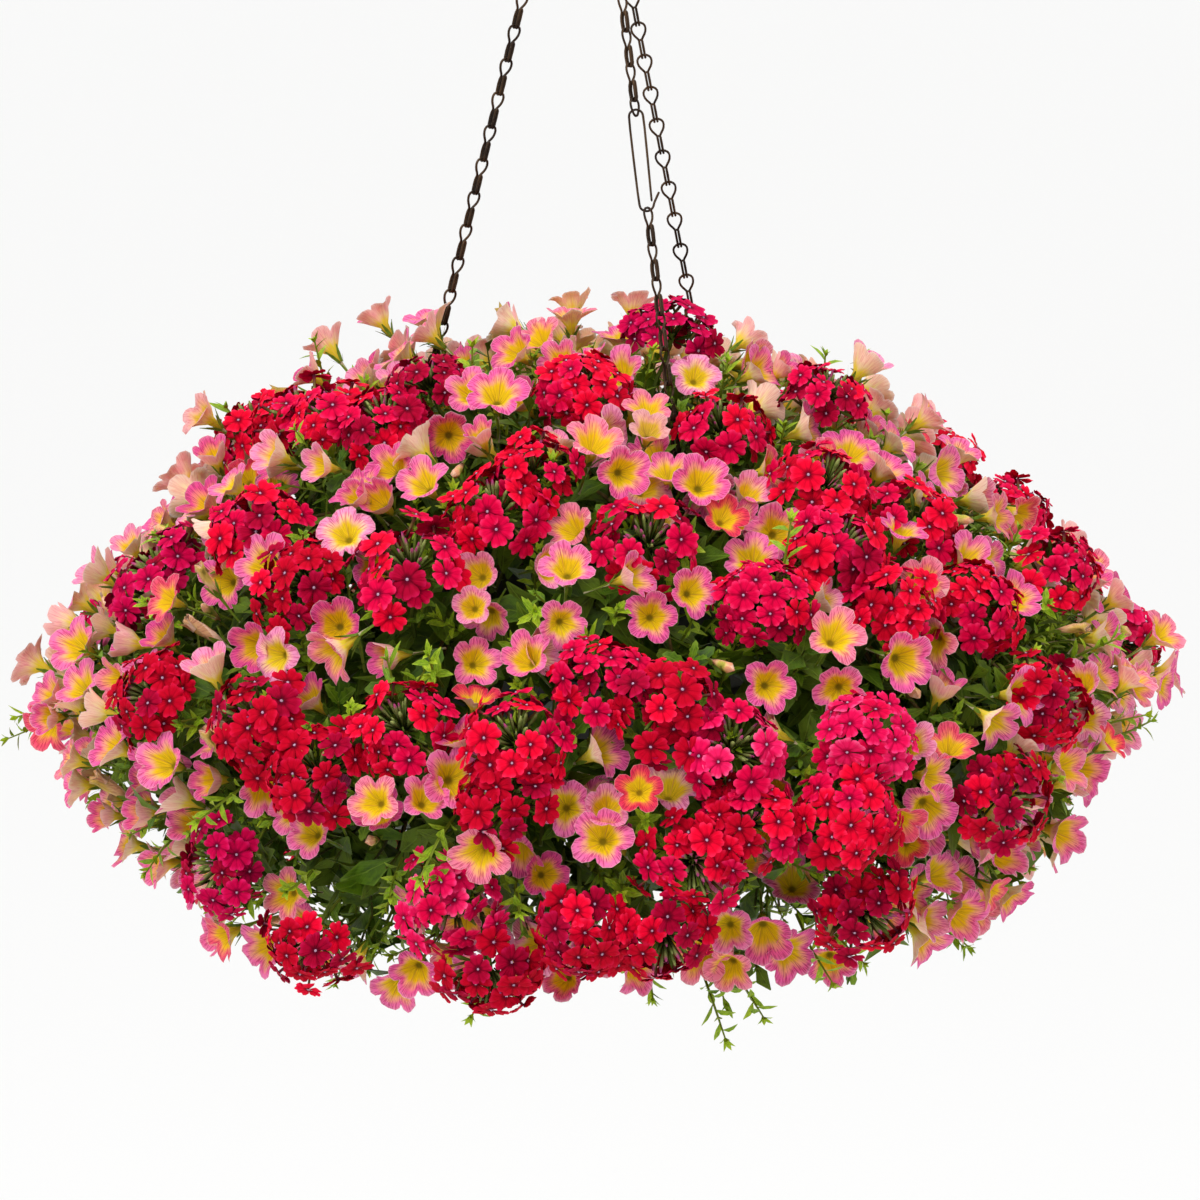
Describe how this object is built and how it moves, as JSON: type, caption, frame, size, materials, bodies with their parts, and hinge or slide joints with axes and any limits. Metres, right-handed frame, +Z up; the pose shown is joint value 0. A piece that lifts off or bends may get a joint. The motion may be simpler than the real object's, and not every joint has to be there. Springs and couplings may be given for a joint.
{
  "type": "flowering hanging basket",
  "caption": "Hanging pot on wire chains, filled with a wide mound of flowering verbena and calibrachoa, hung from one hook.",
  "frame": {"origin": "seat of the hanger's hook, on the underside of its crown, where it hangs on a bracket", "axes": "+Z up, -Y towards the front of the basket, +X to the right seen from the front"},
  "size_m": [0.6939, 0.6906, 0.8047],
  "materials": {
    "hook_wire": "satin",
    "chain_wire": "satin",
    "pot_resin": "matte",
    "potting_soil": "matte",
    "plant_stem": "matte",
    "verbena_leaf": "satin",
    "calibrachoa_leaf": "satin",
    "verbena_bloom": "matte",
    "calibrachoa_bloom": "matte"
  },
  "bodies": {
    "root": {"hanger_hook": "hook_wire", "left_chain": "chain_wire", "right_chain": "chain_wire", "front_chain_upper": "chain_wire", "front_chain_lower": "chain_wire", "front_chain_clip": "chain_wire", "left_rim_hook": "chain_wire", "front_rim_hook": "chain_wire", "right_rim_hook": "chain_wire", "hanging_pot": "pot_resin", "potting_soil": "potting_soil", "calibrachoa_1_stems": "plant_stem", "calibrachoa_1_leaves": "calibrachoa_leaf", "calibrachoa_1_blooms": "calibrachoa_bloom", "calibrachoa_2_stems": "plant_stem", "calibrachoa_2_leaves": "calibrachoa_leaf", "calibrachoa_2_blooms": "calibrachoa_bloom", "calibrachoa_3_stems": "plant_stem", "calibrachoa_3_leaves": "calibrachoa_leaf", "calibrachoa_3_blooms": "calibrachoa_bloom", "verbena_1_stems": "plant_stem", "verbena_1_leaves": "verbena_leaf", "verbena_1_head_01": "verbena_bloom", "verbena_1_head_02": "verbena_bloom", "verbena_1_head_03": "verbena_bloom", "verbena_1_head_04": "verbena_bloom", "verbena_1_head_05": "verbena_bloom", "verbena_1_head_06": "verbena_bloom", "verbena_1_head_07": "verbena_bloom", "verbena_1_head_08": "verbena_bloom", "verbena_1_head_09": "verbena_bloom", "verbena_1_head_10": "verbena_bloom", "verbena_2_stems": "plant_stem", "verbena_2_leaves": "verbena_leaf", "verbena_2_head_01": "verbena_bloom", "verbena_2_head_02": "verbena_bloom", "verbena_2_head_03": "verbena_bloom", "verbena_2_head_04": "verbena_bloom", "verbena_2_head_05": "verbena_bloom", "verbena_2_head_06": "verbena_bloom", "verbena_2_head_07": "verbena_bloom", "verbena_2_head_08": "verbena_bloom", "verbena_2_head_09": "verbena_bloom", "verbena_2_head_10": "verbena_bloom", "verbena_3_stems": "plant_stem", "verbena_3_leaves": "verbena_leaf", "verbena_3_head_01": "verbena_bloom", "verbena_3_head_02": "verbena_bloom", "verbena_3_head_03": "verbena_bloom", "verbena_3_head_04": "verbena_bloom", "verbena_3_head_05": "verbena_bloom", "verbena_3_head_06": "verbena_bloom", "verbena_3_head_07": "verbena_bloom", "verbena_3_head_08": "verbena_bloom", "verbena_3_head_09": "verbena_bloom", "verbena_3_head_10": "verbena_bloom"}
  },
  "joints": []
}
